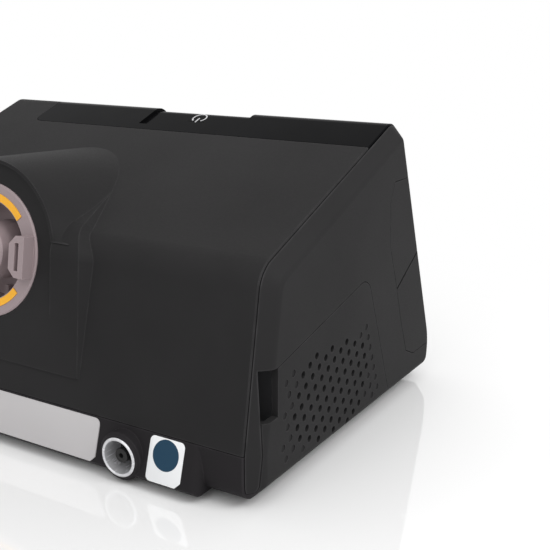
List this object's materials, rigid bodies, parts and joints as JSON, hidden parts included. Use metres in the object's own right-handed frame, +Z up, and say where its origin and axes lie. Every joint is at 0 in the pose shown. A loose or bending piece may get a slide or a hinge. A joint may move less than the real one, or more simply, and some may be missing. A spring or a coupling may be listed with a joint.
{
  "type": "cpap machine",
  "caption": "Bedside positive airway pressure machine: wedge housing with angled outlet port, power inlet, filter and card covers, dial, screen and heated humidifier tub.",
  "frame": {"origin": "on the floor, under the middle of the machine", "axes": "+Z up; -Y is the front with screen and dial; +Y is the rear with air outlet and power inlet; -X is the side with the air filter, +X the side with the water tub"},
  "size_m": [0.205, 0.1499, 0.1141],
  "materials": {
    "graphite": "fine textured moulded polycarbonate",
    "graphite_base": "fine textured moulded polycarbonate",
    "gloss_black": "polished moulded plastic",
    "soft_grey": "satin moulded plastic",
    "signal_orange": "satin coloured plastic",
    "rubber_black": "matt rubber",
    "steel": "plated steel",
    "heater_aluminium": "anodised plate",
    "screen_glass": "polished clear window, dark behind",
    "screen_body": "display module",
    "board_green": "glass epoxy board",
    "chip_black": "moulded chips",
    "tub_clear": "clear smoked polycarbonate",
    "seal_grey": "silicone",
    "filter_white": "pressed fibre pad",
    "inner_grey": "moulded inner plastic",
    "card_blue": "memory card",
    "lens_green": "translucent light guide",
    "impeller_white": "balanced moulded impeller",
    "foam_grey": "lined silencer box"
  },
  "bodies": {
    "root": {"rear_shell": "graphite", "side_panel": "graphite", "front_bezel": "gloss_black", "base_chassis": "graphite_base", "rubber_feet": "rubber_black", "outlet_socket": "inner_grey", "power_inlet_barrel": "steel", "power_inlet_insulator": "chip_black", "power_inlet_pin": "steel", "screen_window": "screen_glass", "screen_module": "screen_body", "display_board": "board_green", "status_lens": "lens_green", "dial_encoder": "steel", "dial_ring": "steel", "home_switch": "chip_black", "tub_bay": "graphite_base", "tub_inlet_seal": "seal_grey", "tub_outlet_seal": "seal_grey", "heater_plate": "heater_aluminium", "heater_mount": "inner_grey", "air_filter": "filter_white", "filter_frame": "inner_grey", "inlet_silencer": "foam_grey", "blower_lower": "inner_grey", "blower_upper": "inner_grey", "blower_grommets": "seal_grey", "blower_motor": "steel", "air_duct": "inner_grey", "outlet_duct": "inner_grey", "inner_deck": "inner_grey", "main_board": "board_green", "main_components": "chip_black", "comms_board": "board_green", "sd_socket": "steel", "adapter_connector": "chip_black"},
    "outlet_connector_body": {"outlet_connector": "soft_grey", "outlet_marks": "signal_orange"},
    "filter_cover": {"air_filter_cover": "graphite"},
    "card_cover": {"sd_card_cover": "graphite"},
    "adapter_door": {"adapter_cover": "graphite"},
    "start_button": {"start_stop_button": "graphite"},
    "home_key": {"home_button": "graphite"},
    "dial_spindle": {"dial_shaft": "steel"},
    "dial": {"dial_knob": "gloss_black"},
    "memory_card": {"sd_card": "card_blue"},
    "water_tub": {"tub_base": "tub_clear", "tub_lid": "tub_clear", "tub_seal": "seal_grey", "tub_heat_plate": "heater_aluminium"},
    "fan": {"impeller": "impeller_white"}
  },
  "joints": [
    {"name": "filter_cover_hinge", "type": "hinge", "parent": "root", "child": "filter_cover", "pos_m": [-0.1025, -0.01968, 0.0288], "axis": [0, 0.3714, 0.9285], "range_deg": [0, 80]},
    {"name": "card_cover_hinge", "type": "hinge", "parent": "root", "child": "card_cover", "pos_m": [-0.1025, -0.0245, 0.086], "axis": [0, -0.0728, -0.9973], "range_deg": [0, 90]},
    {"name": "adapter_cover_pull", "type": "slide", "parent": "root", "child": "adapter_door", "axis": [-1, 0, 0], "range_m": [0, 0.012]},
    {"name": "start_button_press", "type": "slide", "parent": "root", "child": "start_button", "axis": [0, 0, -1], "range_m": [0, 0.0008], "stiffness_N_per_m": 1500, "springref_m": -0.0006},
    {"name": "home_button_press", "type": "slide", "parent": "root", "child": "home_key", "axis": [0, 0.9342, -0.3567], "range_m": [0, 0.0008], "stiffness_N_per_m": 1200, "springref_m": -0.0006},
    {"name": "dial_press", "type": "slide", "parent": "root", "child": "dial_spindle", "axis": [0, 0.9342, -0.3567], "range_m": [0, 0.0008], "stiffness_N_per_m": 2000, "springref_m": -0.0008},
    {"name": "dial_turn", "type": "hinge", "parent": "dial_spindle", "child": "dial", "pos_m": [0.001, -0.05667, 0.066], "axis": [0, -0.9342, 0.3567], "continuous": true},
    {"name": "memory_card_push", "type": "slide", "parent": "root", "child": "memory_card", "axis": [-1, 0, 0], "range_m": [-0.0008, 0.0025]},
    {"name": "outlet_turn", "type": "hinge", "parent": "root", "child": "outlet_connector_body", "pos_m": [0.0185, 0.06159, 0.0705], "axis": [0, 0.9848, 0.1736], "range_deg": [0, 45]},
    {"name": "water_tub_pull", "type": "slide", "parent": "root", "child": "water_tub", "axis": [1, 0, 0], "range_m": [0, 0.075]},
    {"name": "fan_spin", "type": "hinge", "parent": "root", "child": "fan", "pos_m": [-0.042, 0.02, 0.03], "axis": [0, 0, 1], "continuous": true}
  ]
}
